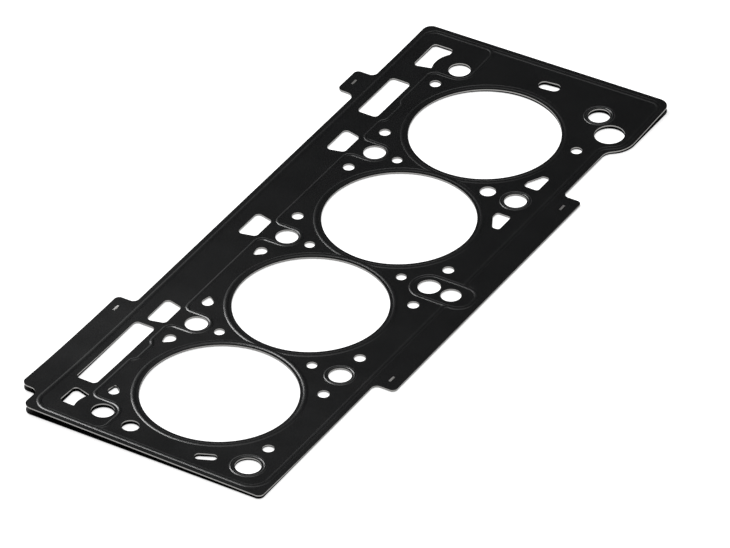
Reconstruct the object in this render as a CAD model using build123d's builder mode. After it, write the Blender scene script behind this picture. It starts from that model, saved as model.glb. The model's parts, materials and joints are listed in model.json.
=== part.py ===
from build123d import *
import os
from math import acos, cos, degrees, pi, radians, sin, tan

# Multi-layer steel gasket between the block and the head of a four-cylinder engine.
# Millimetres, +Z towards the cylinder head, +X along the row of bores, +Y towards the
# side with the oil drain windows. The origin is midway along the row of bores, on the
# plane that the gasket lies on.

# How finely rounds are drawn. The bores and the bolt holes of the lowest layer are true
# circles. All other rounds have a few flat sides, so that the mesh stays light, and no
# flat side strays further than this from the round that it stands for.
flat_error = 0.15
shortest_side = 0.05

# Cylinder bores
bore_count = 4
bore_pitch = 86.0
bore_radius = 40.0

# Layers
sheet_thickness = 0.25
spacer_thickness = 0.40
bead_height = 0.20

# Pressed beads
bore_bead_radius = 42.8
bore_bead_width = 3.0
edge_bead_width = 3.0
water_bead_width = 2.4
bolt_bead_width = 1.8
bead_crest_width = 0.9
edge_bead_inset = 3.9
water_bead_y = 52.8
water_bead_corner = 4.0
bolt_loop_radius = 7.5
end_loop_radius = 8.4
dowel_ring_radius = 8.5
edge_bead_corner = 6.0
edge_bead_left_corner = 8.5
edge_bead_front_corner = 10.0
lobe_bead_inset = 3.2
lobe_bead_start = 154.4
lobe_bead_end = 147.4
lobe_bead_bend = 8.0
bead_dip = 2.4
rear_dip_places = ((-119.0, 7.0), (122.0, 8.0))

# Head bolts and the dowel
bolt_radius = 5.9
dowel_radius = 6.6
rear_bolt_y = 41.0
front_bolt_y = -43.8
end_bolt_x = 172.0

# Outer edge
left_edge = -190.3
right_edge = 199.5
rear_edge = 77.0
front_edge = -62.5
left_corner = 5.0
right_corner = 5.0
front_right_corner = 6.5
front_left_corner = 3.0

# Tabs on the rear and front edges
rear_tab_edge = 88.0
long_tab_left = -175.0
long_tab_right = -86.6
short_tab_left = 125.0
short_tab_right = 144.8
front_tab_edge = -74.0
front_tab_left = -83.6
front_tab_right = 102.3
tab_outer_corner = 2.8
tab_left_corner = 4.5
tab_inner_corner = 3.2

# Round oil passages
lobe_x = 160.4
lobe_y = -56.7
lobe_radius = 14.9
lobe_hole_radius = 8.0
lobe_neck_radius = 7.0
front_oil_x = -0.6
front_oil_y = -57.0
front_oil_radius = 5.3
oil_loop_half_width = 9.3
oil_loop_front = -69.5
oil_loop_bend = 7.5
oil_loop_neck = 3.0
arch_bend = 9.0
arch_start_y = -61.0
side_water_x = -175.2
side_water_y = 22.7
side_water_radius = 4.6

# Slots near the two ends
left_slot_x = -176.8
left_slot_y = -22.3
left_slot_length = 11.5
left_slot_width = 5.0
left_slot_heading = -64.0
right_slot_x = 182.0
right_slot_y = -7.9
right_slot_length = 12.3
right_slot_width = 6.6
right_slot_heading = -84.0

# Coolant holes beside the bolts and in the webs between the bores
water_hole_radius = 3.0
teardrop_reach = 3.8
teardrop_tip_radius = 1.0
teardrop_heading = 20.0
teardrop_shift = 1.0
rear_water_offset = 18.0
rear_water_y = 45.7
end_water_x = 155.0
front_water_offset = 17.2
front_water_y = -44.8
front_end_water_x = -154.8
stray_water_x = 140.0
stray_water_y = -48.7
web_hole_radius = 2.7
large_web_hole_radius = 4.2
web_hole_y = 27.3

# Three-sided coolant windows on both sides of a front bolt
side_window_inner = 13.4
side_window_outer = 26.0
side_window_front = -49.2
side_window_rear = -40.7
side_window_shoulder = 8.4
side_window_low_side = -45.2
side_window_corner = 1.6

# Oil drain windows along the rear edge
window_front = 56.5
window_rear = 68.4
long_window_left = -155.0
long_window_right = -99.6
short_window_left = 113.2
short_window_right = 148.5
tapered_front = 54.6
tapered_rear = 65.0
tapered_front_width = 15.4
tapered_rear_width = 20.4
window_corner = 2.4
end_window_boss = 15.0
end_window_corner = 1.2
end_window_front = 52.6
left_window_left = -176.5
left_window_right = -161.6
left_window_foot = -164.8
left_window_rear = 64.0
right_window_left = 163.6
right_window_right = 186.0
right_window_foot = 166.6

# Openings are cut through all layers by this depth, half of it on each side of Z = 0
pierce_depth = 20.0

# Clinches that hold the three layers together
clinch_length = 4.6
clinch_width = 1.4
clinch_clearance = 0.12
clinch_height = 0.10

# The two upper layers spring away from the lowest one at both ends, in flat steps. Each
# step has its distance from the origin and the slopes that it adds at the left and right.
spring_heading = -16.0
spring_steps = ((125.0, 0.0216, 0.0156), (165.0, 0.0435, 0.0340))

# Places worked out from the sizes above
bore_xs = [bore_pitch * (i - (bore_count - 1) / 2) for i in range(bore_count)]
web_xs = [bore_pitch * (i - (bore_count - 2) / 2) for i in range(bore_count - 1)]
rear_bolt_places = [(x, rear_bolt_y) for x in (-end_bolt_x, *web_xs, end_bolt_x)]
front_bolt_places = [(x, front_bolt_y) for x in (*web_xs, end_bolt_x)]
spacer_bottom = bead_height + sheet_thickness
top_bottom = spacer_bottom + spacer_thickness
top_face = top_bottom + sheet_thickness
bead_left = left_edge + edge_bead_inset
bead_right = right_edge - edge_bead_inset
bead_rear = rear_edge - edge_bead_inset
bead_front = front_edge + edge_bead_inset
lobe_front = lobe_y - lobe_radius
tongue_length = clinch_length - 2 * clinch_clearance
tongue_width = clinch_width - 2 * clinch_clearance
tongue_height = top_face - bead_height + 2 * clinch_height
clinch_places = [(-95.5, 83.0), (134.8, 83.4), (-75.6, -67.6), (93.0, -67.4)]


def side_count(radius, turn=360.0):
    """Number of flat sides that stand for a round stretch."""
    side_turn = degrees(2 * acos(1 - flat_error / radius))
    return max(1, round(turn / side_turn))


def round_hole(radius):
    """A round opening drawn with flat sides, about its own middle."""
    with BuildSketch() as hole:
        RegularPolygon(radius, side_count(radius))
    return hole.sketch


def rounded(corners):
    """Points of a line with each (x, y, radius) corner drawn as a few flat sides."""
    points = []
    for i, (x, y, radius) in enumerate(corners):
        corner = Vector(x, y)
        if radius == 0:
            points.append(corner)
            continue
        back = (Vector(*corners[i - 1][:2]) - corner).normalized()
        ahead = (Vector(*corners[(i + 1) % len(corners)][:2]) - corner).normalized()
        half_angle = radians(back.get_angle(ahead) / 2)
        centre = corner + (back + ahead).normalized() * (radius / sin(half_angle))
        arm = corner + back * (radius / tan(half_angle)) - centre
        turn = 180 - back.get_angle(ahead)
        sides = side_count(radius, turn)
        if back.cross(ahead).Z > 0:
            turn = -turn
        for side in range(sides + 1):
            points.append(centre + arm.rotate(Axis.Z, turn * side / sides))
    return [point for i, point in enumerate(points) if (point - points[i - 1]).length > shortest_side]


def rounded_face(corners):
    """A face bounded by a rounded line."""
    with BuildSketch() as face:
        with BuildLine():
            Polyline(*rounded(corners), close=True)
        make_face()
    return face.sketch


def slot(length, width, heading):
    """A slot with round ends about its own middle."""
    ends = [(-length / 2, -width / 2), (length / 2, -width / 2)]
    ends += [(length / 2, width / 2), (-length / 2, width / 2)]
    corners = [(x, y, width * 0.499) for x, y in ends]
    return rounded_face(corners).rotate(Axis.Z, heading)


def window(left, right, front_left, front_right, front, rear):
    """A drain window; its front edge runs from front_left to front_right."""
    return rounded_face([
        (left, rear, window_corner),
        (right, rear, window_corner),
        (front_right, front, window_corner),
        (front_left, front, window_corner),
    ])


def end_window(bolt_x, left, right, foot_left, foot_right, rear):
    """A drain window whose front edge bends round the land of an end bolt."""
    outer = window(left, right, foot_left, foot_right, end_window_front, rear)
    with BuildSketch() as face:
        add(outer)
        with Locations((bolt_x, rear_bolt_y)):
            add(round_hole(end_window_boss), mode=Mode.SUBTRACT)
    return face.sketch


def teardrop(heading):
    """A round coolant hole drawn out to a small tip in the given direction."""
    with BuildSketch() as drop:
        add(round_hole(water_hole_radius))
        with Locations((teardrop_reach, 0)):
            add(round_hole(teardrop_tip_radius))
        make_hull()
    return drop.sketch.rotate(Axis.Z, heading)


def side_window(side):
    """One three-sided coolant window, on the given side of its bolt."""
    shoulder = side_window_inner + side_window_shoulder / 2
    return rounded_face([
        (side * side_window_inner, side_window_front, side_window_corner),
        (side * side_window_outer, side_window_front, side_window_corner),
        (side * side_window_outer, side_window_low_side, side_window_corner),
        (side * shoulder, side_window_rear, side_window_corner),
        (side * side_window_inner, side_window_rear, side_window_corner),
    ])


# Outline of the main plate with its three tabs; the lobe round the large oil passage
# joins the front edge by a round neck that touches both
lobe_turn = acos((lobe_y - front_edge + lobe_neck_radius) / (lobe_radius + lobe_neck_radius))
lobe_corner_x = lobe_x - lobe_radius * tan(lobe_turn / 2)
neck_x = lobe_x - (lobe_radius + lobe_neck_radius) * sin(lobe_turn)
neck_corner_x = neck_x + lobe_neck_radius * tan(lobe_turn / 2)
outline = rounded_face([
    (left_edge, front_edge, front_left_corner),
    (left_edge, rear_edge, left_corner),
    (long_tab_left, rear_edge, tab_left_corner),
    (long_tab_left, rear_tab_edge, tab_left_corner),
    (long_tab_right, rear_tab_edge, tab_outer_corner),
    (long_tab_right, rear_edge, tab_inner_corner),
    (short_tab_left, rear_edge, tab_left_corner),
    (short_tab_left, rear_tab_edge, tab_inner_corner),
    (short_tab_right, rear_tab_edge, tab_outer_corner),
    (short_tab_right, rear_edge, tab_inner_corner),
    (right_edge, rear_edge, right_corner),
    (right_edge, lobe_front, front_right_corner),
    (lobe_corner_x, lobe_front, lobe_radius),
    (neck_corner_x, front_edge, lobe_neck_radius),
    (front_tab_right, front_edge, tab_inner_corner),
    (front_tab_right, front_tab_edge, tab_outer_corner),
    (front_tab_left, front_tab_edge, tab_outer_corner),
    (front_tab_left, front_edge, tab_inner_corner),
])

# Windows and slots, each drawn once
half_rear = tapered_rear_width / 2
half_front = tapered_front_width / 2
tapered_window = window(-half_rear, half_rear, -half_front, half_front, tapered_front, tapered_rear)
long_window = window(
    long_window_left, long_window_right, long_window_left, long_window_right, window_front, window_rear
)
short_window = window(
    short_window_left, short_window_right, short_window_left, short_window_right, window_front, window_rear
)
left_window = end_window(
    -end_bolt_x, left_window_left, left_window_right, left_window_left, left_window_foot, left_window_rear
)
right_window = end_window(
    end_bolt_x, right_window_left, right_window_right, right_window_foot, right_window_right, tapered_rear
)
drop_to_left = teardrop(180 - teardrop_heading)
drop_to_right = teardrop(teardrop_heading)
side_window_left = side_window(-1)
side_window_right = side_window(1)
left_slot = slot(left_slot_length, left_slot_width, left_slot_heading)
right_slot = slot(right_slot_length, right_slot_width, right_slot_heading)

# Small round coolant holes
rear_round_xs = [rear_water_offset, web_xs[-1] - rear_water_offset]
rear_round_xs += [web_xs[-1] + rear_water_offset, end_water_x]
front_round_xs = [front_end_water_x, web_xs[0] - front_water_offset]
front_round_xs += [web_xs[0] + front_water_offset, -front_water_offset, front_water_offset]
water_places = [(x, rear_water_y) for x in rear_round_xs]
water_places += [(x, front_water_y) for x in front_round_xs]
water_places += [(stray_water_x, stray_water_y)]
web_hole_places = [(x, web_hole_y) for x in web_xs] + [(x, -web_hole_y) for x in web_xs[:-1]]
drop_to_left_xs = [web_xs[0] - rear_water_offset + teardrop_shift, -rear_water_offset + teardrop_shift]
drop_to_right_xs = [-end_water_x, web_xs[0] + rear_water_offset]

# Holes for the head bolts and the dowel: true circles where they stand on the block
with BuildSketch() as true_bolt_holes:
    with Locations(*rear_bolt_places, *front_bolt_places):
        Circle(bolt_radius)
    with Locations((-end_bolt_x, front_bolt_y)):
        Circle(dowel_radius)
with BuildSketch() as bolt_holes:
    with Locations(*rear_bolt_places, *front_bolt_places):
        add(round_hole(bolt_radius))
    with Locations((-end_bolt_x, front_bolt_y)):
        add(round_hole(dowel_radius))

# Every other opening through the sheets, apart from the clinch slots
with BuildSketch() as openings:
    with Locations(*[(x, 0) for x in bore_xs]):
        Circle(bore_radius)
    with Locations((lobe_x, lobe_y)):
        add(round_hole(lobe_hole_radius))
    with Locations((front_oil_x, front_oil_y)):
        add(round_hole(front_oil_radius))
    with Locations((side_water_x, side_water_y)):
        add(round_hole(side_water_radius))
    with Locations(*web_hole_places):
        add(round_hole(web_hole_radius))
    with Locations((web_xs[-1], -web_hole_y)):
        add(round_hole(large_web_hole_radius))
    with Locations(*water_places):
        add(round_hole(water_hole_radius))
    with Locations(*[(x, rear_water_y) for x in drop_to_left_xs]):
        add(drop_to_left)
    with Locations(*[(x, rear_water_y) for x in drop_to_right_xs]):
        add(drop_to_right)
    with Locations((web_xs[-1], 0)):
        add(side_window_left)
        add(side_window_right)
    with Locations(*[(x, 0) for x in web_xs]):
        add(tapered_window)
    with Locations((left_slot_x, left_slot_y)):
        add(left_slot)
    with Locations((right_slot_x, right_slot_y)):
        add(right_slot)
    add(long_window)
    add(short_window)
    add(left_window)
    add(right_window)


def bolt_detour(x):
    """Corners of a line that leaves the water line and passes round a bolt."""
    reach = bolt_loop_radius
    return [
        (x - reach, water_bead_y, water_bead_corner),
        (x - reach, rear_bolt_y - reach, reach),
        (x + reach, rear_bolt_y - reach, reach),
        (x + reach, water_bead_y, water_bead_corner),
    ]


def dip(x, half_width):
    """Corners of the shallow dip of the water line in front of a drain window."""
    return [
        (x - half_width - bead_dip, water_bead_y, 0),
        (x - half_width, water_bead_y - bead_dip, 0),
        (x + half_width, water_bead_y - bead_dip, 0),
        (x + half_width + bead_dip, water_bead_y, 0),
    ]


def ring(x, y, radius):
    """Points of a ring drawn with flat sides."""
    sides = side_count(radius)
    angles = [2 * pi * side / sides for side in range(sides)]
    return [(x + radius * cos(angle), y + radius * sin(angle)) for angle in angles]


# Centre line of the bead along the outer edge
edge_line = rounded([
    (0.0, bead_rear, 0),
    (bead_right, bead_rear, edge_bead_corner),
    (bead_right, lobe_front + lobe_bead_inset, edge_bead_corner),
    (lobe_bead_start, lobe_front + lobe_bead_inset, lobe_bead_bend),
    (lobe_bead_end, bead_front, edge_bead_corner),
    (oil_loop_half_width, bead_front, oil_loop_neck),
    (oil_loop_half_width, oil_loop_front, oil_loop_bend),
    (-oil_loop_half_width, oil_loop_front, oil_loop_bend),
    (-oil_loop_half_width, bead_front, oil_loop_neck),
    (bead_left, bead_front, edge_bead_front_corner),
    (bead_left, bead_rear, edge_bead_left_corner),
])

# Centre line of the bead between the water area and the drain windows
end_loop_y = rear_bolt_y - end_loop_radius
left_loop_x = -end_bolt_x + end_loop_radius
right_loop_x = end_bolt_x - end_loop_radius
water_line = rounded([
    (bead_left, rear_bolt_y, 0),
    (bead_left, end_loop_y, edge_bead_corner),
    (left_loop_x, end_loop_y, end_loop_radius),
    (left_loop_x, water_bead_y, water_bead_corner),
    *dip(*rear_dip_places[0]),
    *bolt_detour(web_xs[0]),
    *bolt_detour(web_xs[1]),
    *bolt_detour(web_xs[2]),
    *dip(*rear_dip_places[1]),
    (right_loop_x, water_bead_y, water_bead_corner),
    (right_loop_x, end_loop_y, end_loop_radius),
    (bead_right, end_loop_y, edge_bead_corner),
    (bead_right, rear_bolt_y, 0),
])

# Centre line of the arch that parts the front oil passage from the water area
arch_line = rounded([
    (-oil_loop_half_width, arch_start_y, 0),
    (-oil_loop_half_width, front_bolt_y + oil_loop_half_width, arch_bend),
    (oil_loop_half_width, front_bolt_y + oil_loop_half_width, arch_bend),
    (oil_loop_half_width, arch_start_y, 0),
])

line_beads = [
    (edge_line, edge_bead_width, True),
    (water_line, water_bead_width, False),
    (arch_line, water_bead_width, False),
    (ring(-end_bolt_x, front_bolt_y, dowel_ring_radius), bolt_bead_width, True),
]
for x in (web_xs[0], web_xs[2], end_bolt_x):
    line_beads.append((ring(x, front_bolt_y, bolt_loop_radius), bolt_bead_width, True))
for x in bore_xs:
    line_beads.append((ring(x, 0, bore_bead_radius), bore_bead_width, True))


def bead_ridges():
    """All beads as ridges that stand on the plane Z = 0."""
    half_crest = bead_crest_width / 2
    with BuildPart() as ridges:
        for points, width, closed in line_beads:
            with BuildLine() as line:
                Polyline(*points, close=closed)
            path = line.wire()
            with BuildSketch(Plane(origin=path @ 0, z_dir=path % 0, x_dir=(0, 0, 1))):
                with BuildLine():
                    Polyline(
                        (0, -width / 2),
                        (bead_height, -half_crest),
                        (bead_height, half_crest),
                        (0, width / 2),
                        close=True,
                    )
                make_face()
            sweep(path=path, transition=Transition.RIGHT)
    return ridges.part


def folds(heading, steps):
    """Each fold as its outward direction, its distance from the origin and its slope."""
    along = Vector(1, 0, 0).rotate(Axis.Z, heading)
    found = []
    for distance, left_slope, right_slope in steps:
        found += [(-along, distance, left_slope), (along, distance, right_slope)]
    return found


def bend(sheet, fold_list):
    """Cuts a flat sheet along every fold, tilts what lies beyond it and joins all again."""
    strips = [(sheet, (0, 0, 0))]
    for outward, distance, slope in fold_list:
        cut = Plane(origin=outward * distance, z_dir=outward)
        tilt = (slope * outward.X, slope * outward.Y, -slope * distance)
        parted = []
        for strip, rise in strips:
            inner = strip.split(cut, keep=Keep.BOTTOM)
            outer = strip.split(cut, keep=Keep.TOP)
            if inner:
                parted.append((inner, rise))
            if outer:
                parted.append((outer, tuple(a + b for a, b in zip(rise, tilt))))
        strips = parted
    tilted = []
    for strip, (x_rise, y_rise, lift) in strips:
        if x_rise or y_rise:
            rows = [[1, 0, 0, 0], [0, 1, 0, 0], [x_rise, y_rise, 1, lift], [0, 0, 0, 1]]
            strip = strip.transform_geometry(Matrix(rows))
        tilted.append(strip)
    return tilted[0] + tilted[1:]


def blank(bottom, thickness, beads=None):
    """A flat sheet with the outline and its beads, before it is bent and pierced."""
    with BuildPart() as sheet:
        with BuildSketch(Plane.XY.offset(bottom)):
            add(outline)
        extrude(amount=thickness)
        if beads:
            add(beads)
    return sheet.part


ridges = bead_ridges()
spring = folds(spring_heading, spring_steps)

# Lower outer layer: beads pressed downwards
ridges_down = ridges.mirror(Plane.XY).translate((0, 0, bead_height))
with BuildPart() as bottom_layer:
    add(blank(bead_height, sheet_thickness, ridges_down))
    with BuildSketch(Plane.XY.offset(-pierce_depth / 2)):
        add(openings.sketch)
        add(true_bolt_holes.sketch)
        with Locations(*clinch_places):
            Rectangle(clinch_length, clinch_width)
    extrude(amount=pierce_depth, mode=Mode.SUBTRACT)

# Plain middle layer with the tongues that reach through the slots of both others
with BuildPart() as spacer_blank:
    add(blank(spacer_bottom, spacer_thickness))
    with BuildSketch(Plane.XY.offset(bead_height - clinch_height)):
        with Locations(*clinch_places):
            Rectangle(tongue_length, tongue_width)
    extrude(amount=tongue_height)
with BuildPart() as spacer_layer:
    add(bend(spacer_blank.part, spring))
    with BuildSketch(Plane.XY.offset(-pierce_depth / 2)):
        add(openings.sketch)
        add(bolt_holes.sketch)
    extrude(amount=pierce_depth, mode=Mode.SUBTRACT)

# Upper outer layer: beads pressed upwards
ridges_up = ridges.translate((0, 0, top_face))
top_blank = blank(top_bottom, sheet_thickness, ridges_up)
with BuildPart() as top_layer:
    add(bend(top_blank, spring))
    with BuildSketch(Plane.XY.offset(-pierce_depth / 2)):
        add(openings.sketch)
        add(bolt_holes.sketch)
        with Locations(*clinch_places):
            Rectangle(clinch_length, clinch_width)
    extrude(amount=pierce_depth, mode=Mode.SUBTRACT)

bottom_layer.part.label = "bottom_layer"
spacer_layer.part.label = "spacer_layer"
top_layer.part.label = "top_layer"
os.makedirs("parts", exist_ok=True)
export_step(bottom_layer.part, "parts/bottom_layer.step")
export_step(spacer_layer.part, "parts/spacer_layer.step")
export_step(top_layer.part, "parts/top_layer.step")
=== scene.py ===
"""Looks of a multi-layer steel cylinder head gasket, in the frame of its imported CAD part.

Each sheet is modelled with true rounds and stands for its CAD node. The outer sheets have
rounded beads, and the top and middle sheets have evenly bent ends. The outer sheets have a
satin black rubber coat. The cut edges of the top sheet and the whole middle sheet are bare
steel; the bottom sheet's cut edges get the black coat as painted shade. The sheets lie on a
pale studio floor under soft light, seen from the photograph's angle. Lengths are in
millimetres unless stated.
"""

from __future__ import annotations

import json
import logging
import math
from dataclasses import dataclass, field
from enum import Enum

import bmesh  # noqa: E402
import bpy  # noqa: E402
from mathutils import Matrix, Vector  # noqa: E402

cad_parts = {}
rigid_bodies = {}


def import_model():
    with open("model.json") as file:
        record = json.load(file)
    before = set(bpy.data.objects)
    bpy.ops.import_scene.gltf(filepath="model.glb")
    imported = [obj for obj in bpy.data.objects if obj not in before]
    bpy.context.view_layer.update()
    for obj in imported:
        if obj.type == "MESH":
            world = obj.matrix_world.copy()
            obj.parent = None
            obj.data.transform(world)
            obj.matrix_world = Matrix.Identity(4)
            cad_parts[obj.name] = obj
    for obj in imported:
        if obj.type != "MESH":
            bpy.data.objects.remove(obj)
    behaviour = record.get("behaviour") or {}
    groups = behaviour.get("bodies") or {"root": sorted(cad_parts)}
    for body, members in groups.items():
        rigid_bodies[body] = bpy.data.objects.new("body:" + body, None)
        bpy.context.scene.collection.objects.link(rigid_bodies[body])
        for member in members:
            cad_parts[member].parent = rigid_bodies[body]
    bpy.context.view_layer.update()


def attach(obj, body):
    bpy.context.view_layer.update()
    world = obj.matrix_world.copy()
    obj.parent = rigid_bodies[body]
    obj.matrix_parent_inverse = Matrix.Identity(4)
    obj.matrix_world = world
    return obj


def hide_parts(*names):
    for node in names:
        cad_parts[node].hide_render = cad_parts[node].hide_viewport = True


log = logging.getLogger("head_gasket")

BODY = "root"
PHOTO_WIDTH = 730
SENSOR_WIDTH = 36.0
MM = 0.001

Corner = tuple[float, float, float]
Place = tuple[float, float]
Colour = tuple[float, float, float]

# Thicknesses, and the heights of the beads. A bead that runs into another one is a hair lower.
SHEET = 0.25
SPACER = 0.40
BEAD_HEIGHT = 0.20
BRANCH_HEIGHT = 0.198

# Outer edge without its tabs
LEFT_EDGE = -190.3
RIGHT_EDGE = 199.5
FRONT_EDGE = -62.5
REAR_EDGE = 77.0
FRONT_TAB_EDGE = -74.0
REAR_TAB_EDGE = 88.0

# Bores, bolts, and the large oil passage in its lobe
BORE_RADIUS = 40.0
BORE_XS = (-129.0, -43.0, 43.0, 129.0)
WEB_XS = (-86.0, 0.0, 86.0)
END_BOLT_X = 172.0
REAR_BOLT_Y = 41.0
FRONT_BOLT_Y = -43.8
OIL_X = 160.4
OIL_Y = -56.7
REAR_WATER_Y = 45.7

# Centre lines of the beads
EDGE_BEAD_LEFT = -186.4
EDGE_BEAD_RIGHT = 195.6
EDGE_BEAD_REAR = 73.1
EDGE_BEAD_FRONT = -58.6
WATER_BEAD_Y = 52.8
ARCH_X = 9.3
WIDE_BEAD = 3.0
WATER_BEAD = 2.4
BOLT_BEAD = 1.8

# Levels that cutters reach past the flat sheets, and how close points are welded
CUT_LOW = -1.0
CUT_HIGH = 3.0
WELD = 0.004
FINISH_WELD = 0.001
SHORTEST_RUN = 0.01

# Sides of the rounds
LARGE_RADIUS = 20.0
BORE_SIDES = 192
HOLE_SIDES = 64
TIP_SIDES = 48
LAND_SIDES = 60
BORE_BEAD_STEPS = 120
BOLT_BEAD_STEPS = 48


class Sheet(Enum):
    """The sheets of the gasket, by the names of their CAD nodes."""

    TOP = "top_layer"
    SPACER = "spacer_layer"
    BOTTOM = "bottom_layer"

    @property
    def levels(self) -> tuple[float, float]:
        """Lower and upper face of the flat sheet."""
        low = {
            Sheet.BOTTOM: BEAD_HEIGHT,
            Sheet.SPACER: BEAD_HEIGHT + SHEET,
            Sheet.TOP: BEAD_HEIGHT + SHEET + SPACER,
        }[self]
        return low, low + (SPACER if self is Sheet.SPACER else SHEET)


@dataclass(frozen=True)
class Fold:
    """One even bend of the sprung sheets.

    Args:
        heading: Degrees from +X to the side that is bent up.
        distance: Distance from the origin to the middle of the bend.
        slope: Slope that the bend adds.
        reach: Distance on each side of the middle over which the bend runs.
    """

    heading: float
    distance: float
    slope: float
    reach: float = 18.0

    @property
    def outward(self) -> Vector:
        """Level direction towards the side that is bent up."""
        turn = math.radians(self.heading)
        return Vector((math.cos(turn), math.sin(turn), 0.0))

    def lift(self, point: Vector) -> float:
        """Height that the bend gives to a point of the flat sheet.

        Args:
            point: The point, in metres.

        Returns:
            The height in metres.
        """
        beyond = point.dot(self.outward) / MM - self.distance
        if beyond <= -self.reach:
            return 0.0
        if beyond >= self.reach:
            return self.slope * beyond * MM
        return self.slope * (beyond + self.reach) ** 2 / (4 * self.reach) * MM


FOLDS = (
    Fold(heading=164.0, distance=125.0, slope=0.0216),
    Fold(heading=164.0, distance=165.0, slope=0.0435),
    Fold(heading=-16.0, distance=125.0, slope=0.0156),
    Fold(heading=-16.0, distance=165.0, slope=0.0340),
)


@dataclass(frozen=True)
class Arc:
    """Round corner of a track.

    Args:
        start: Where it begins.
        end: Where it ends.
        centre: Its centre.
        radius: Its radius.
        turn: How far it turns, in radians, to the left where positive.
    """

    start: Vector
    end: Vector
    centre: Vector
    radius: float
    turn: float


@dataclass(frozen=True)
class Track:
    """Line of straight runs and round corners, along which a profile is swept.

    Args:
        corners: The sharp corners as (x, y, radius).
        closed: Whether the last corner leads back to the first one.
        step: Greatest turn of one facet of a round, in degrees.
    """

    corners: tuple[Corner, ...]
    closed: bool = True
    step: float = 7.5

    def arcs(self) -> list[Arc]:
        """Round corners of the track, in order.

        Returns:
            One arc for each corner, of no length where the radius is 0.
        """
        found = []
        for index, (x, y, radius) in enumerate(self.corners):
            corner = Vector((x, y))
            if radius <= 0.0:
                found.append(Arc(corner, corner, corner, 0.0, 0.0))
                continue
            following = self.corners[(index + 1) % len(self.corners)]
            back = (Vector(self.corners[index - 1][:2]) - corner).normalized()
            ahead = (Vector(following[:2]) - corner).normalized()
            half = back.angle(ahead) / 2
            centre = corner + (back + ahead).normalized() * (radius / math.sin(half))
            reach = radius / math.tan(half)
            turn = math.copysign(math.pi - 2 * half, ahead.cross(back))
            found.append(Arc(corner + back * reach, corner + ahead * reach, centre, radius, turn))
        return found

    def sweep(self, profile: list[Place], ring: bool) -> bpy.types.Object:
        """Draws a profile across the start, then extrudes and spins it along the track.

        Args:
            profile: Points of the profile as (offset to the left, level).
            ring: Whether the profile is closed.

        Returns:
            The closed body.
        """
        arcs = self.arcs()
        legs = arcs[1:] + arcs[:1] if self.closed else arcs[1:]
        here = arcs[0].end
        ahead = (legs[0].start - here).normalized()
        start = here.to_3d()
        piece = draw([start + Vector((-ahead.y * a, ahead.x * a, b)) for a, b in profile], ring)
        bpy.ops.mesh.select_all(action="SELECT")
        for arc in legs:
            run = arc.start - here
            if run.length > SHORTEST_RUN:
                extrude(run.to_3d())
            if arc.radius:
                steps = max(2, math.ceil(abs(math.degrees(arc.turn)) / self.step))
                spin(arc.centre, arc.turn, steps)
            here = arc.end
        close_body()
        return piece


def extrude(run: Vector) -> None:
    """Extrudes what is selected in edit mode.

    Args:
        run: How far.
    """
    bpy.ops.mesh.extrude_region_move(TRANSFORM_OT_translate={"value": run * MM})


def draw(points: list[Vector], ring: bool) -> bpy.types.Object:
    """Draws a line by extruding a vertex from point to point, and stays in edit mode.

    Args:
        points: The points.
        ring: Whether the line is closed.

    Returns:
        The new object.
    """
    bpy.ops.object.select_all(action="DESELECT")
    bpy.ops.mesh.primitive_plane_add(size=MM, location=points[0] * MM)
    piece = bpy.context.object
    bpy.ops.object.transform_apply(location=True, rotation=True, scale=True)
    bpy.ops.object.mode_set(mode="EDIT")
    bpy.ops.mesh.select_mode(type="VERT")
    bpy.ops.mesh.select_all(action="SELECT")
    bpy.ops.mesh.merge(type="CENTER")
    stops = points + points[:1] if ring else points
    for here, there in zip(stops, stops[1:]):
        extrude(there - here)
    bpy.ops.mesh.select_all(action="SELECT")
    bpy.ops.mesh.remove_doubles(threshold=WELD * MM)
    return piece


def spin(centre: Vector, turn: float, steps: int) -> None:
    """Spins the selected profile about an upright axis.

    Args:
        centre: Place of the axis.
        turn: How far, in radians, to the left where positive.
        steps: Number of facets.
    """
    bpy.ops.mesh.spin(steps=steps, angle=-turn, center=centre.to_3d() * MM, axis=(0.0, 0.0, 1.0))


def close_body() -> None:
    """Joins the seam of a swept body, closes its ends and leaves edit mode."""
    bpy.ops.mesh.select_all(action="SELECT")
    bpy.ops.mesh.remove_doubles(threshold=WELD * MM)
    bpy.ops.mesh.select_all(action="DESELECT")
    bpy.ops.mesh.select_non_manifold()
    bpy.ops.mesh.fill_holes(sides=0)
    bpy.ops.mesh.select_all(action="SELECT")
    bpy.ops.mesh.normals_make_consistent(inside=False)
    bpy.ops.object.mode_set(mode="OBJECT")


def activate(piece: bpy.types.Object) -> None:
    """Makes one object the only selected and the active one.

    Args:
        piece: The object.
    """
    bpy.ops.object.select_all(action="DESELECT")
    piece.select_set(True)
    bpy.context.view_layer.objects.active = piece


def join(pieces: list[bpy.types.Object]) -> bpy.types.Object:
    """Joins several objects into the first one.

    Args:
        pieces: The objects.

    Returns:
        The joined object.
    """
    activate(pieces[0])
    for piece in pieces[1:]:
        piece.select_set(True)
    if len(pieces) > 1:
        bpy.ops.object.join()
    bpy.ops.object.transform_apply(location=True, rotation=True, scale=True)
    return pieces[0]


def combine(piece: bpy.types.Object, other: bpy.types.Object, operation: str) -> None:
    """Adds one object to another or cuts it out, and removes it.

    Args:
        piece: What is changed.
        other: What is added or cut out.
        operation: UNION or DIFFERENCE.
    """
    activate(piece)
    bpy.ops.object.modifier_add(type="BOOLEAN")
    boolean = piece.modifiers[-1]
    boolean.operation = operation
    boolean.solver = "EXACT"
    boolean.object = other
    bpy.ops.object.modifier_apply(modifier=boolean.name)
    bpy.data.objects.remove(other, do_unlink=True)


def prism(corners: tuple[Corner, ...], low: float, high: float) -> bpy.types.Object:
    """An upright prism with rounded corners.

    Args:
        corners: The sharp corners as (x, y, radius).
        low: Its lower face.
        high: Its upper face.

    Returns:
        The prism.
    """
    return Track(corners).sweep([(0.0, low), (0.0, high)], False)


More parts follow.
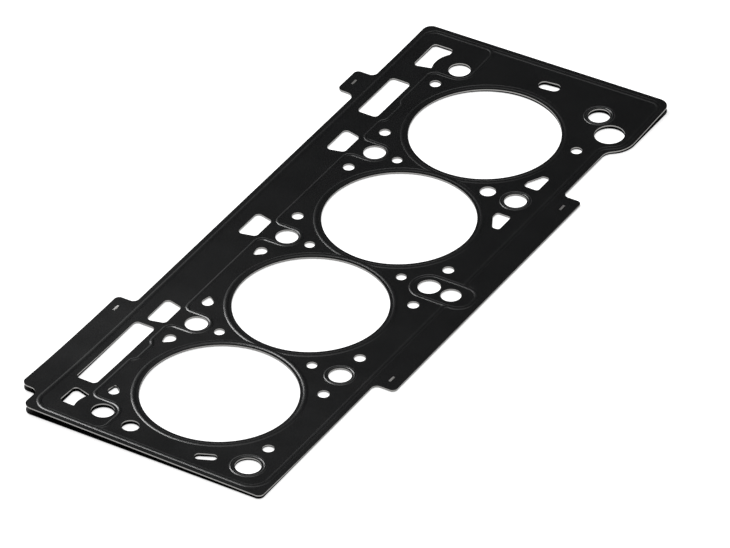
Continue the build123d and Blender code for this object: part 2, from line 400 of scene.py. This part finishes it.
def cylinder(
    x: float,
    y: float,
    radius: float,
    low: float = CUT_LOW,
    high: float = CUT_HIGH,
    sides: int = HOLE_SIDES,
    turn: float = 0.0,
) -> bpy.types.Object:
    """An upright cylinder.

    Args:
        x: Its middle.
        y: Its middle.
        radius: Its radius.
        low: Its lower face.
        high: Its upper face.
        sides: Number of its sides.
        turn: How far its sides are turned, in degrees.

    Returns:
        The cylinder.
    """
    bpy.ops.object.select_all(action="DESELECT")
    bpy.ops.mesh.primitive_cylinder_add(
        vertices=sides,
        radius=radius * MM,
        depth=(high - low) * MM,
        location=Vector((x, y, (low + high) / 2)) * MM,
        rotation=(0.0, 0.0, math.radians(turn)),
    )
    return bpy.context.object


def hull(discs: list[Corner]) -> bpy.types.Object:
    """A cutter stretched round several cylinders.

    Args:
        discs: The cylinders as (x, y, radius).

    Returns:
        The cutter.
    """
    body = join([cylinder(*disc, sides=TIP_SIDES) for disc in discs])
    bpy.ops.object.mode_set(mode="EDIT")
    bpy.ops.mesh.select_all(action="SELECT")
    bpy.ops.mesh.convex_hull()
    bpy.ops.object.mode_set(mode="OBJECT")
    return body


@dataclass(frozen=True)
class Bead:
    """A pressed bead along a track.

    Args:
        track: Its centre line.
        width: Its width at the foot.
        height: Its height, a hair less where it runs into another bead.
    """

    track: Track
    width: float
    height: float = BEAD_HEIGHT

    def build(self, surface: float, sense: int) -> bpy.types.Object:
        """Makes the bead as a closed ridge whose foot reaches into the sheet.

        Args:
            surface: Level of the face that the bead stands on.
            sense: 1 for a bead pressed upwards, -1 for one pressed downwards.

        Returns:
            The ridge.
        """
        return self.track.sweep(bead_profile(self.width, self.height, surface, sense), True)


@dataclass(frozen=True)
class RoundBead:
    """A pressed bead round a bore or a bolt.

    Args:
        x: Its middle.
        y: Its middle.
        radius: Radius of its centre line.
        width: Its width at the foot.
    """

    x: float
    y: float
    radius: float
    width: float

    def build(self, surface: float, sense: int) -> bpy.types.Object:
        """Makes the bead by spinning its profile once round.

        Args:
            surface: Level of the face that the bead stands on.
            sense: 1 for a bead pressed upwards, -1 for one pressed downwards.

        Returns:
            The ridge.
        """
        profile = bead_profile(self.width, BEAD_HEIGHT, surface, sense)
        ridge = draw([Vector((self.x + self.radius + a, self.y, b)) for a, b in profile], True)
        bpy.ops.mesh.select_all(action="SELECT")
        steps = BORE_BEAD_STEPS if self.radius > LARGE_RADIUS else BOLT_BEAD_STEPS
        spin(Vector((self.x, self.y)), 2 * math.pi, steps)
        close_body()
        return ridge


def bead_profile(width: float, height: float, surface: float, sense: int) -> list[Place]:
    """Rounded profile of a bead, closed inside the sheet.

    Args:
        width: Its width at the foot.
        height: Its height.
        surface: Level of the face that the bead stands on.
        sense: 1 for a bead pressed upwards, -1 for one pressed downwards.

    Returns:
        The profile as (offset, level) points.
    """
    count, past_foot, root = 10, 1.05, -0.1
    profile = []
    for index in range(count + 1):
        share = past_foot * (2 * index / count - 1)
        rise = height * math.cos(share * math.pi / 2)
        profile.append((share * width / 2, surface + sense * rise))
    edge = past_foot * width / 2
    return profile + [(edge, surface + sense * root), (-edge, surface + sense * root)]


def window(
    left: float, right: float, foot_left: float, foot_right: float, front: float, rear: float
) -> tuple[Corner, ...]:
    """Corners of a drain window.

    Args:
        left: Left end of its rear edge.
        right: Right end of its rear edge.
        foot_left: Left end of its front edge.
        foot_right: Right end of its front edge.
        front: Its front edge.
        rear: Its rear edge.

    Returns:
        The corners.
    """
    radius = 2.4
    return (
        (left, rear, radius),
        (right, rear, radius),
        (foot_right, front, radius),
        (foot_left, front, radius),
    )


class Layout:
    """Outline, openings and beads that the sheets share."""

    def outline(self) -> tuple[Corner, ...]:
        """The outer edge with its tabs and the lobe round the large oil passage.

        Returns:
            Its corners.
        """
        lobe_radius, neck_radius = 14.9, 7.0
        reach = lobe_radius + neck_radius
        turn = math.acos((OIL_Y - FRONT_EDGE + neck_radius) / reach)
        lobe_front = OIL_Y - lobe_radius
        lobe_x = OIL_X - lobe_radius * math.tan(turn / 2)
        neck_x = OIL_X - reach * math.sin(turn) + neck_radius * math.tan(turn / 2)
        return (
            (LEFT_EDGE, FRONT_EDGE, 3.0),
            (LEFT_EDGE, REAR_EDGE, 5.0),
            (-175.0, REAR_EDGE, 4.5),
            (-175.0, REAR_TAB_EDGE, 4.5),
            (-86.6, REAR_TAB_EDGE, 2.8),
            (-86.6, REAR_EDGE, 3.2),
            (125.0, REAR_EDGE, 4.5),
            (125.0, REAR_TAB_EDGE, 3.2),
            (144.8, REAR_TAB_EDGE, 2.8),
            (144.8, REAR_EDGE, 3.2),
            (RIGHT_EDGE, REAR_EDGE, 5.0),
            (RIGHT_EDGE, lobe_front, 6.5),
            (lobe_x, lobe_front, lobe_radius),
            (neck_x, FRONT_EDGE, neck_radius),
            (102.3, FRONT_EDGE, 3.2),
            (102.3, FRONT_TAB_EDGE, 2.8),
            (-83.6, FRONT_TAB_EDGE, 2.8),
            (-83.6, FRONT_EDGE, 3.2),
        )

    def round_holes(self) -> list[tuple[float, tuple[Place, ...]]]:
        """Round openings for pistons, bolts, the dowel, oil and coolant.

        Returns:
            Radius and middles of each kind.
        """
        rear_bolts = tuple((x, REAR_BOLT_Y) for x in (-END_BOLT_X, *WEB_XS, END_BOLT_X))
        front_bolts = tuple((x, FRONT_BOLT_Y) for x in (*WEB_XS, END_BOLT_X))
        rear_water = tuple((x, REAR_WATER_Y) for x in (18.0, 68.0, 104.0, 155.0))
        front_water = tuple((x, -44.8) for x in (-154.8, -103.2, -68.8, -17.2, 17.2))
        return [
            (BORE_RADIUS, tuple((x, 0.0) for x in BORE_XS)),
            (5.9, rear_bolts + front_bolts),
            (6.6, ((-END_BOLT_X, FRONT_BOLT_Y),)),
            (8.0, ((OIL_X, OIL_Y),)),
            (5.3, ((-0.6, -57.0),)),
            (4.6, ((-175.2, 22.7),)),
            (4.2, ((86.0, -27.3),)),
            (2.7, tuple((x, 27.3) for x in WEB_XS) + ((-86.0, -27.3), (0.0, -27.3))),
            (3.0, rear_water + front_water + ((140.0, -48.7),)),
        ]

    def windows(self) -> list[tuple[Corner, ...]]:
        """Openings with straight sides and rounded corners.

        Returns:
            The corners of each.
        """
        found = [
            window(-155.0, -99.6, -155.0, -99.6, 56.5, 68.4),
            window(113.2, 148.5, 113.2, 148.5, 56.5, 68.4),
        ]
        for x in WEB_XS:
            found.append(window(x - 10.2, x + 10.2, x - 7.7, x + 7.7, 54.6, 65.0))
        for side in (-1, 1):
            found.append((
                (86.0 + side * 13.4, -49.2, 1.6),
                (86.0 + side * 26.0, -49.2, 1.6),
                (86.0 + side * 26.0, -45.2, 1.6),
                (86.0 + side * 17.6, -40.7, 1.6),
                (86.0 + side * 13.4, -40.7, 1.6),
            ))
        return found

    def stretched_holes(self) -> list[list[Corner]]:
        """Slots with round ends, and round coolant holes drawn out to a small tip.

        Returns:
            The two rounds of each.
        """
        found = []
        slots = ((-176.8, -22.3, 3.25, 2.5, -64.0), (182.0, -7.9, 2.85, 3.3, -84.0))
        for x, y, half, radius, heading in slots:
            along = Matrix.Rotation(math.radians(heading), 2) @ Vector((half, 0.0))
            found.append([(x - along.x, y - along.y, radius), (x + along.x, y + along.y, radius)])
        for x, heading in ((-103.0, 160.0), (-17.0, 160.0), (-155.0, 20.0), (-68.0, 20.0)):
            along = Matrix.Rotation(math.radians(heading), 2) @ Vector((3.8, 0.0))
            found.append([(x, REAR_WATER_Y, 3.0), (x + along.x, REAR_WATER_Y + along.y, 1.0)])
        return found

    def end_window(self, corners: tuple[Corner, ...], bolt: Place) -> bpy.types.Object:
        """Cutter of a drain window whose front edge bends round the land of an end bolt.

        Args:
            corners: The window without the land.
            bolt: Middle of the bolt.

        Returns:
            The cutter.
        """
        land, tip_bevel = 14.85, 0.7
        cutter = prism(corners, CUT_LOW, CUT_HIGH)
        # Turned so that both tips fall in the middle of a side, where the bevel has room
        disc = cylinder(*bolt, land, CUT_LOW - 1, CUT_HIGH + 1, LAND_SIDES, turn=2.5)
        combine(cutter, disc, "DIFFERENCE")
        middle = Vector(bolt) * MM
        activate(cutter)
        bpy.ops.object.mode_set(mode="EDIT")
        bpy.ops.mesh.select_mode(type="EDGE")
        bpy.ops.mesh.select_all(action="DESELECT")
        mesh = bmesh.from_edit_mesh(cutter.data)
        for edge in mesh.edges:
            foot, top = (vertex.co.xy for vertex in edge.verts)
            upright = (foot - top).length < 0.01 * MM
            on_land = abs((foot - middle).length - land * MM) < 0.05 * MM
            edge.select = upright and on_land and edge.calc_face_angle(0.0) > math.radians(60)
        bmesh.update_edit_mesh(cutter.data)
        bpy.ops.mesh.bevel(offset=tip_bevel * MM, segments=6, affect="EDGES")
        bpy.ops.object.mode_set(mode="OBJECT")
        return cutter

    def cutters(self) -> bpy.types.Object:
        """All openings as one cutter.

        Returns:
            The cutter.
        """
        made = [prism(corners, CUT_LOW, CUT_HIGH) for corners in self.windows()]
        made += [hull(discs) for discs in self.stretched_holes()]
        for radius, places in self.round_holes():
            sides = BORE_SIDES if radius > LARGE_RADIUS else HOLE_SIDES
            made += [cylinder(x, y, radius, sides=sides) for x, y in places]
        front, soft = 52.6, 2.4
        left = (
            (-176.5, 64.0, soft),
            (-161.6, 64.0, soft),
            (-164.8, front, 0.0),
            (-176.5, front, 0.0),
        )
        right = (
            (163.6, 65.0, soft),
            (186.0, 65.0, soft),
            (186.0, front, soft),
            (166.6, front, 0.0),
        )
        made.append(self.end_window(left, (-END_BOLT_X, REAR_BOLT_Y)))
        made.append(self.end_window(right, (END_BOLT_X, REAR_BOLT_Y)))
        return join(made)

    def clinches(self, length: float, width: float, low: float, high: float) -> bpy.types.Object:
        """Boxes at the four clinches.

        Args:
            length: Their length.
            width: Their width.
            low: Their lower face.
            high: Their upper face.

        Returns:
            The boxes as one object.
        """
        made = []
        for x, y in ((-95.5, 83.0), (134.8, 83.4), (-75.6, -67.6), (93.0, -67.4)):
            bpy.ops.object.select_all(action="DESELECT")
            bpy.ops.mesh.primitive_cube_add(
                size=MM,
                location=Vector((x, y, (low + high) / 2)) * MM,
                scale=(length, width, high - low),
            )
            made.append(bpy.context.object)
        return join(made)

    def beads(self) -> list[Bead | RoundBead]:
        """All beads of an outer sheet.

        Returns:
            The beads.
        """
        found: list[Bead | RoundBead] = [self.edge_bead()]
        found += [RoundBead(x, 0.0, BORE_RADIUS + 2.8, WIDE_BEAD) for x in BORE_XS]
        found.append(RoundBead(-END_BOLT_X, FRONT_BOLT_Y, 8.5, BOLT_BEAD))
        for x in (-86.0, 86.0, END_BOLT_X):
            found.append(RoundBead(x, FRONT_BOLT_Y, 7.5, BOLT_BEAD))
        found += [self.water_bead(), self.arch_bead()]
        return found

    def edge_bead(self) -> Bead:
        """The bead that runs all the way round inside the outer edge.

        Returns:
            The bead.
        """
        return Bead(Track((
            (0.0, EDGE_BEAD_REAR, 0.0),
            (EDGE_BEAD_RIGHT, EDGE_BEAD_REAR, 6.0),
            (EDGE_BEAD_RIGHT, -68.4, 6.0),
            (154.4, -68.4, 8.0),
            (147.4, EDGE_BEAD_FRONT, 6.0),
            (ARCH_X, EDGE_BEAD_FRONT, 3.0),
            (ARCH_X, -69.5, 7.5),
            (-ARCH_X, -69.5, 7.5),
            (-ARCH_X, EDGE_BEAD_FRONT, 3.0),
            (EDGE_BEAD_LEFT, EDGE_BEAD_FRONT, 10.0),
            (EDGE_BEAD_LEFT, EDGE_BEAD_REAR, 8.5),
        )), WIDE_BEAD)

    def water_bead(self) -> Bead:
        """The bead that winds between the rear bolts and the bores.

        Returns:
            The bead.
        """
        line, loop, end_loop = WATER_BEAD_Y, 7.5, 8.4
        foot = REAR_BOLT_Y - end_loop
        corners: list[Corner] = [
            (EDGE_BEAD_LEFT, REAR_BOLT_Y, 0.0),
            (EDGE_BEAD_LEFT, foot, 6.0),
            (-END_BOLT_X + end_loop, foot, end_loop),
            (-END_BOLT_X + end_loop, line, 4.0),
            *self.dip(-119.0, 7.0),
        ]
        for x in WEB_XS:
            corners += [
                (x - loop, line, 4.0),
                (x - loop, REAR_BOLT_Y - loop, loop),
                (x + loop, REAR_BOLT_Y - loop, loop),
                (x + loop, line, 4.0),
            ]
        corners += [
            *self.dip(122.0, 8.0),
            (END_BOLT_X - end_loop, line, 4.0),
            (END_BOLT_X - end_loop, foot, end_loop),
            (EDGE_BEAD_RIGHT, foot, 6.0),
            (EDGE_BEAD_RIGHT, REAR_BOLT_Y, 0.0),
        ]
        return Bead(Track(tuple(corners), closed=False), WATER_BEAD, BRANCH_HEIGHT)

    def arch_bead(self) -> Bead:
        """The bead that arches round the middle front bolt and the small oil passage.

        Returns:
            The bead.
        """
        corners = (
            (-ARCH_X, -61.0, 0.0),
            (-ARCH_X, -34.5, 9.0),
            (ARCH_X, -34.5, 9.0),
            (ARCH_X, -61.0, 0.0),
        )
        return Bead(Track(corners, closed=False), WATER_BEAD, BRANCH_HEIGHT)

    def dip(self, x: float, half_width: float) -> list[Corner]:
        """Corners of the shallow dip of the water line in front of a drain window.

        Args:
            x: Its middle.
            half_width: Half of its width at the bottom.

        Returns:
            The corners.
        """
        line, depth, soft = WATER_BEAD_Y, 2.4, 4.0
        return [
            (x - half_width - depth, line, soft),
            (x - half_width, line - depth, soft),
            (x + half_width, line - depth, soft),
            (x + half_width + depth, line, soft),
        ]


@dataclass(frozen=True)
class Finish:
    """A new material and the nodes that finishes have in common.

    Args:
        material: The material.
        nodes: Nodes of its tree.
        links: Links of its tree.
        shader: Its Principled shader.
    """

    material: bpy.types.Material
    nodes: bpy.types.Nodes
    links: bpy.types.NodeLinks
    shader: bpy.types.Node

    @classmethod
    def new(cls, name: str) -> Finish:
        """Makes an empty material.

        Args:
            name: Name of the material.

        Returns:
            The finish.
        """
        material = bpy.data.materials.new(name)
        material.use_nodes = True
        tree = material.node_tree
        return cls(material, tree.nodes, tree.links, tree.nodes["Principled BSDF"])

    def noise(
        self, place: bpy.types.NodeSocket, scale: float, detail: float
    ) -> bpy.types.NodeSocket:
        """Adds a noise texture.

        Args:
            place: Where it is read.
            scale: Repeats per metre.
            detail: Octaves.

        Returns:
            Its value.
        """
        node = self.nodes.new("ShaderNodeTexNoise")
        node.inputs["Scale"].default_value = scale
        node.inputs["Detail"].default_value = detail
        self.links.new(place, node.inputs["Vector"])
        return node.outputs["Fac"]

    def colour(self, share: bpy.types.NodeSocket, dark: Colour, light: Colour) -> None:
        """Colours the surface between two colours.

        Args:
            share: Share of the lighter colour.
            dark: The darker colour.
            light: The lighter colour.
        """
        mix = self.nodes.new("ShaderNodeMix")
        mix.data_type = "RGBA"
        mix.inputs["A"].default_value = (*dark, 1.0)
        mix.inputs["B"].default_value = (*light, 1.0)
        self.links.new(share, mix.inputs["Factor"])
        self.links.new(mix.outputs["Result"], self.shader.inputs["Base Color"])

    def roughness(self, share: bpy.types.NodeSocket, mean: float, uneven: float) -> None:
        """Makes the surface unevenly rough.

        Args:
            share: Where it lies between the smoothest and the roughest.
            mean: Mean roughness.
            uneven: How far it goes up and down.
        """
        spread = self.nodes.new("ShaderNodeMapRange")
        spread.inputs["To Min"].default_value = mean - uneven
        spread.inputs["To Max"].default_value = mean + uneven
        self.links.new(share, spread.inputs["Value"])
        self.links.new(spread.outputs["Result"], self.shader.inputs["Roughness"])

    def matt(self, grey: float, rough: float) -> None:
        """Makes the surface plain and matt.

        Args:
            grey: Its colour.
            rough: Its roughness.
        """
        self.shader.inputs["Base Color"].default_value = (grey, grey, grey, 1.0)
        self.shader.inputs["Roughness"].default_value = rough
        self.shader.inputs["Specular IOR Level"].default_value = 0.0


@dataclass(frozen=True)
class RubberCoat:
    """Satin black rubber coat, a little uneven as it comes out of the oven.

    Args:
        name: Name of the material.
        dark: Colour of the thicker places of the coat.
        light: Colour of the thinner places of the coat.
        roughness: Mean roughness.
        uneven: How far the roughness goes up and down.
        specular: Level of its reflections.
        grain: Size of the fine grain, in repeats per metre.
        grain_depth: Height of the fine grain, in metres.
    """

    name: str = "black_coat"
    dark: Colour = (0.0042, 0.0044, 0.0046)
    light: Colour = (0.0068, 0.0070, 0.0073)
    roughness: float = 0.23
    uneven: float = 0.03
    specular: float = 0.24
    grain: float = 2600.0
    grain_depth: float = 0.000003

    def build(self) -> bpy.types.Material:
        """Makes the material.

        Returns:
            The new material.
        """
        finish = Finish.new(self.name)
        place = finish.nodes.new("ShaderNodeTexCoord").outputs["Object"]
        cloud = finish.noise(place, 18.0, 4.0)
        smear = finish.noise(place, 60.0, 3.0)
        finish.colour(cloud, self.dark, self.light)
        finish.roughness(smear, self.roughness, self.uneven)
        finish.shader.inputs["Specular IOR Level"].default_value = self.specular
        bump = finish.nodes.new("ShaderNodeBump")
        bump.inputs["Distance"].default_value = self.grain_depth
        finish.links.new(finish.noise(place, self.grain, 2.0), bump.inputs["Height"])
        finish.links.new(bump.outputs["Normal"], finish.shader.inputs["Normal"])
        return finish.material


@dataclass(frozen=True)
class BareSteel:
    """Cold rolled steel, faintly streaked along the rolling direction.

    Args:
        name: Name of the material.
        dark: Colour of the duller streaks.
        light: Colour of the brighter streaks.
        roughness: Mean roughness.
        uneven: How far the roughness goes up and down.
        streaks: Streaks per metre along X, Y and Z.
    """

    name: str = "bare_steel"
    dark: Colour = (0.20, 0.195, 0.19)
    light: Colour = (0.34, 0.335, 0.325)
    roughness: float = 0.34
    uneven: float = 0.06
    streaks: tuple[float, float, float] = (60.0, 2200.0, 2200.0)

    def build(self) -> bpy.types.Material:
        """Makes the material.

        Returns:
            The new material.
        """
        finish = Finish.new(self.name)
        place = finish.nodes.new("ShaderNodeTexCoord").outputs["Object"]
        stretch = finish.nodes.new("ShaderNodeMapping")
        stretch.inputs["Scale"].default_value = self.streaks
        finish.links.new(place, stretch.inputs["Vector"])
        streak = finish.noise(stretch.outputs["Vector"], 1.0, 3.0)
        finish.colour(streak, self.dark, self.light)
        finish.roughness(streak, self.roughness, self.uneven)
        finish.shader.inputs["Metallic"].default_value = 1.0
        return finish.material


@dataclass
class SheetPiece:
    """One sheet of the gasket.

    Args:
        sheet: Which sheet it is.
        layout: What the sheets share.
    """

    sheet: Sheet
    layout: Layout

    def build(self, coat: bpy.types.Material, steel: bpy.types.Material) -> bpy.types.Object:
        """Models and dresses the sheet.

        Args:
            coat: Finish of the coated faces, and painted shade on the bottom sheet's cut edges.
            steel: Finish of the bare steel.

        Returns:
            The finished piece.
        """
        low, high = self.sheet.levels
        piece = prism(self.layout.outline(), low, high)
        piece.name = self.sheet.value + "_sheet"
        if self.sheet is Sheet.SPACER:
            combine(piece, self.layout.clinches(4.36, 1.16, 0.10, 1.20), "UNION")
        else:
            self.press(piece)
            combine(piece, self.layout.clinches(4.6, 1.4, CUT_LOW, CUT_HIGH), "DIFFERENCE")
        combine(piece, self.layout.cutters(), "DIFFERENCE")
        if self.sheet is not Sheet.BOTTOM:
            self.spring(piece)
        self.dress(piece, coat, steel)
        self.smooth(piece)
        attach(piece, BODY)
        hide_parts(self.sheet.value)
        log.info("%s: %d faces", piece.name, len(piece.data.polygons))
        return piece

    def press(self, piece: bpy.types.Object) -> None:
        """Adds the pressed beads.

        Args:
            piece: The sheet.
        """
        low, high = self.sheet.levels
        surface, sense = (high, 1) if self.sheet is Sheet.TOP else (low, -1)
        for bead in self.layout.beads():
            combine(piece, bead.build(surface, sense), "UNION")

    def spring(self, piece: bpy.types.Object) -> None:
        """Bends both ends of the flat sheet up evenly.

        Args:
            piece: The sheet.
        """
        step = 3.0
        activate(piece)
        bpy.ops.object.mode_set(mode="EDIT")
        for fold in FOLDS:
            count = int(fold.reach / step)
            for index in range(-count, count + 1):
                bpy.ops.mesh.select_all(action="SELECT")
                place = fold.outward * ((fold.distance + index * step) * MM)
                bpy.ops.mesh.bisect(plane_co=place, plane_no=fold.outward)
        bpy.ops.object.mode_set(mode="OBJECT")
        for vertex in piece.data.vertices:
            vertex.co.z += sum(fold.lift(vertex.co) for fold in FOLDS)

    def dress(
        self, piece: bpy.types.Object, coat: bpy.types.Material, steel: bpy.types.Material
    ) -> None:
        """Gives the faces their finishes: the spacer and the top sheet's cut edges are bare.
        The bottom sheet's cut edges get the black coat as painted shade.

        Args:
            piece: The sheet.
            coat: Finish of the coated faces, and painted shade on the bottom sheet's cut edges.
            steel: Finish of the bare steel.
        """
        piece.data.materials.clear()
        piece.data.materials.append(steel if self.sheet is Sheet.SPACER else coat)
        if self.sheet is Sheet.TOP:
            piece.data.materials.append(steel)
        for polygon in piece.data.polygons:
            # Painted shade: the bottom sheet's cut edges keep the black coat instead of bare
            # steel.
            cut_edge = abs(polygon.normal.z) < 0.3
            polygon.material_index = int(self.sheet is Sheet.TOP and cut_edge)

    def smooth(self, piece: bpy.types.Object) -> None:
        """Shades beads and bends smooth and keeps the cut edges sharp.

        Args:
            piece: The sheet.
        """
        activate(piece)
        bpy.ops.object.mode_set(mode="EDIT")
        bpy.ops.mesh.select_all(action="SELECT")
        bpy.ops.mesh.remove_doubles(threshold=FINISH_WELD * MM)
        bpy.ops.object.mode_set(mode="OBJECT")
        bpy.ops.object.shade_smooth_by_angle(angle=math.radians(30.0))
        bpy.ops.object.modifier_add(type="WEIGHTED_NORMAL")
        weighted = piece.modifiers[-1]
        weighted.mode = "FACE_AREA"
        weighted.keep_sharp = True
        bpy.ops.object.modifier_apply(modifier=weighted.name)


@dataclass
class Gasket:
    """The whole gasket: its three sheets and their finishes."""

    layout: Layout = field(default_factory=Layout)
    coat: RubberCoat = field(default_factory=RubberCoat)
    steel: BareSteel = field(default_factory=BareSteel)

    def build(self) -> None:
        """Makes every sheet."""
        coat = self.coat.build()
        steel = self.steel.build()
        for sheet in Sheet:
            SheetPiece(sheet, self.layout).build(coat, steel)


@dataclass
class Studio:
    """Pale floor, soft light and white surroundings.

    Args:
        floor_size: Side of the floor, in metres.
        floor_glow: White that the camera sees on top of the lit floor.
        world_strength: Level at which the surroundings light the object.
    """

    floor_size: float = 6.0
    floor_glow: float = 0.62
    world_strength: float = 0.13

    def build(self) -> None:
        """Makes the floor, the lamps, the dark card and the world."""
        bpy.ops.mesh.primitive_plane_add(size=self.floor_size, location=(0, 0, -0.0001))
        floor = bpy.context.object
        floor.name = "floor"
        floor.data.materials.append(self.floor_finish())
        self.lamp("key_lamp", Vector((0.491, 0.802, 1.097)), 0.22, 0.58, 11.5)
        self.lamp("overhead_lamp", Vector((-0.1, 0.05, 1.5)), 1.3, 1.3, 11.0)
        self.flag(Vector((1.22, 0.62, 0.90)), 1.10, 0.88)
        self.world()

    def lamp(self, name: str, place: Vector, width: float, height: float, power: float) -> None:
        """Adds a soft lamp aimed at the gasket.

        Args:
            name: Name of the lamp.
            place: Where it hangs, in metres.
            width: Its width in metres.
            height: Its height in metres.
            power: Its power in watts.
        """
        bpy.ops.object.light_add(type="AREA", location=place)
        lamp = bpy.context.object
        lamp.name = name
        lamp.data.shape = "RECTANGLE"
        lamp.data.size = width
        lamp.data.size_y = height
        lamp.data.energy = power
        lamp.rotation_euler = (-place).to_track_quat("-Z", "Y").to_euler()

    def flag(self, place: Vector, width: float, height: float) -> None:
        """Hangs a dark card where the flat faces mirror it, which keeps them black.

        Args:
            place: Where it hangs, in metres.
            width: Its width in metres.
            height: Its height in metres.
        """
        bpy.ops.mesh.primitive_plane_add(size=1.0, location=place, scale=(width, height, 1.0))
        card = bpy.context.object
        card.name = "dark_card"
        card.rotation_euler = place.to_track_quat("Z", "Y").to_euler()
        bpy.ops.object.transform_apply(location=True, rotation=True, scale=True)
        cloth = Finish.new("dark_cloth")
        cloth.matt(0.05, 1.0)
        card.data.materials.append(cloth.material)

    def floor_finish(self) -> bpy.types.Material:
        """Makes the pale floor's material.

        Returns:
            The new material.
        """
        finish = Finish.new("pale_floor")
        finish.matt(0.82, 0.9)
        glow = finish.nodes.new("ShaderNodeMath")
        glow.operation = "MULTIPLY"
        glow.inputs[1].default_value = self.floor_glow
        finish.links.new(self.seen(finish.nodes, finish.links), glow.inputs[0])
        finish.shader.inputs["Emission Color"].default_value = (1.0, 1.0, 1.0, 1.0)
        finish.links.new(glow.outputs[0], finish.shader.inputs["Emission Strength"])
        return finish.material

    def seen(
        self, nodes: bpy.types.Nodes, links: bpy.types.NodeLinks
    ) -> bpy.types.NodeSocket:
        """Adds the nodes that tell what the camera sees, by itself or in metal or glass.

        Args:
            nodes: Nodes of the tree.
            links: Links of the tree.

        Returns:
            The output that is 1 for such rays and 0 for all light on the object.
        """
        path = nodes.new("ShaderNodeLightPath")
        result = path.outputs["Is Camera Ray"]
        for ray in ("Is Glossy Ray", "Is Transmission Ray"):
            either = nodes.new("ShaderNodeMath")
            either.operation = "MAXIMUM"
            links.new(result, either.inputs[0])
            links.new(path.outputs[ray], either.inputs[1])
            result = either.outputs[0]
        return result

    def world(self) -> None:
        """Makes white surroundings that light the object at a plain level."""
        world = bpy.data.worlds.new("studio_world")
        bpy.context.scene.world = world
        world.use_nodes = True
        nodes, links = world.node_tree.nodes, world.node_tree.links
        background = nodes["Background"]
        background.inputs["Color"].default_value = (1.0, 1.0, 1.0, 1.0)
        mix = nodes.new("ShaderNodeMix")
        mix.data_type = "FLOAT"
        mix.inputs["A"].default_value = self.world_strength
        mix.inputs["B"].default_value = 1.0
        links.new(self.seen(nodes, links), mix.inputs["Factor"])
        links.new(mix.outputs["Result"], background.inputs["Strength"])


@dataclass
class PhotoCamera:
    """Camera at the photograph's viewing angle.

    Args:
        azimuth: Degrees round the object, 0 looks along +Y.
        elevation: Degrees above the horizon.
        roll: Degrees of tilt about the view direction.
        target: Point on the floor that the middle of the picture shows, in metres.
        distance: Metres from that point to the lens.
        focal_pixels: Focal length in pixels of the photograph.
    """

    azimuth: float = -58.074
    elevation: float = 36.428
    roll: float = -0.824
    target: tuple[float, float] = (-0.0059932, -0.0094127)
    distance: float = 3.7137448
    focal_pixels: float = 7321.46

    def build(self) -> None:
        """Makes the camera and sets it as the scene's camera."""
        turn, rise, tilt = (math.radians(a) for a in (self.azimuth, self.elevation, self.roll))
        level = Vector((math.cos(turn), math.sin(turn), 0.0))
        away = Vector((math.sin(turn), -math.cos(turn), 0.0))
        back = away * math.cos(rise) + Vector((0.0, 0.0, math.sin(rise)))
        upright = back.cross(level)
        right = level * math.cos(tilt) + upright * math.sin(tilt)
        up = upright * math.cos(tilt) - level * math.sin(tilt)
        place = Vector((*self.target, 0.0)) + back * self.distance
        bpy.ops.object.camera_add()
        camera = bpy.context.object
        camera.name = "photo_camera"
        turned = Matrix((right, up, back)).transposed().to_4x4()
        camera.matrix_world = Matrix.Translation(place) @ turned
        camera.data.sensor_width = SENSOR_WIDTH
        camera.data.lens = self.focal_pixels / PHOTO_WIDTH * SENSOR_WIDTH
        camera.data.clip_end = 100.0
        bpy.context.scene.camera = camera


def main() -> None:
    """Builds the scene."""
    logging.basicConfig(level=logging.INFO, format="%(name)s: %(message)s")
    bpy.ops.object.select_all(action="SELECT")
    bpy.ops.object.delete()
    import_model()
    Gasket().build()
    Studio().build()
    PhotoCamera().build()
    bpy.context.scene.view_settings.view_transform = "Standard"
    log.info("the scene is ready")


if __name__ == "__main__":
    main()
